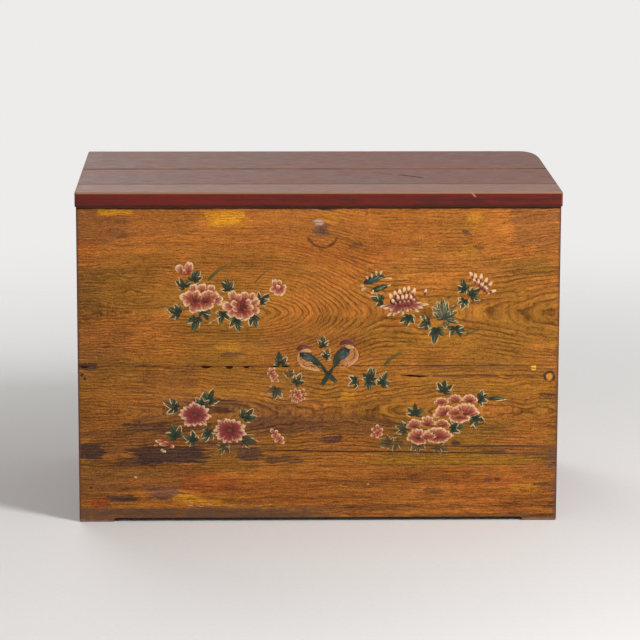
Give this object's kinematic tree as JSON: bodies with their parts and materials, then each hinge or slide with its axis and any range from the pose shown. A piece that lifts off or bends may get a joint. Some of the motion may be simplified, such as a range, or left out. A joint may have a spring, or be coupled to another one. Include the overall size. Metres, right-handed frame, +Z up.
{
  "type": "painted plank trunk",
  "caption": "Storage trunk of edge-joined planks with a painted front, low feet and a flat plank lid that swings up on strap hinges.",
  "frame": {"origin": "middle of the base, on the floor", "axes": "+Z up, +X to the right along the length as seen from the painted front, +Y from the painted front towards the back"},
  "size_m": [0.985, 0.607, 0.6843],
  "materials": {
    "ochre_paint": "worn ochre paint with painted flowers, satin",
    "red_lacquer": "worn dark red lacquer, satin",
    "bare_wood": "aged bare softwood, matt",
    "wrought_iron": "dark forged iron with some rust",
    "bamboo": "plain split bamboo"
  },
  "bodies": {
    "carcass": {"back_board_lower": "bare_wood", "back_board_middle": "bare_wood", "back_board_upper": "bare_wood", "bottom_board_front": "bare_wood", "bottom_board_middle": "bare_wood", "bottom_board_rear": "bare_wood", "bottom_cleat_front": "bare_wood", "bottom_cleat_left": "bare_wood", "bottom_cleat_middle": "bare_wood", "bottom_cleat_rear": "bare_wood", "bottom_cleat_right": "bare_wood", "bottom_nails": "wrought_iron", "cleat_nails": "wrought_iron", "corner_nails": "wrought_iron", "front_board_lower": "ochre_paint", "front_board_middle": "ochre_paint", "front_board_upper": "ochre_paint", "hinge_body_nails": "wrought_iron", "left_hinge_body_leaf": "wrought_iron", "left_hinge_pin": "wrought_iron", "left_side_board_lower": "red_lacquer", "left_side_board_upper": "red_lacquer", "right_hinge_body_leaf": "wrought_iron", "right_hinge_pin": "wrought_iron", "right_side_board_lower": "red_lacquer", "right_side_board_upper": "red_lacquer", "wall_dowels": "bamboo"},
    "lid": {"hinge_lid_nails": "wrought_iron", "left_hinge_lid_leaf": "wrought_iron", "lid_batten_left": "bare_wood", "lid_batten_right": "bare_wood", "lid_board_front": "red_lacquer", "lid_board_middle": "red_lacquer", "lid_board_rear": "red_lacquer", "lid_dowels": "bamboo", "right_hinge_lid_leaf": "wrought_iron"}
  },
  "joints": [
    {"name": "lid_hinge", "type": "hinge", "parent": "carcass", "child": "lid", "pos_m": [0, 0.28405, 0.65075], "axis": [-1, 0, 0], "range_deg": [0, 105]}
  ]
}
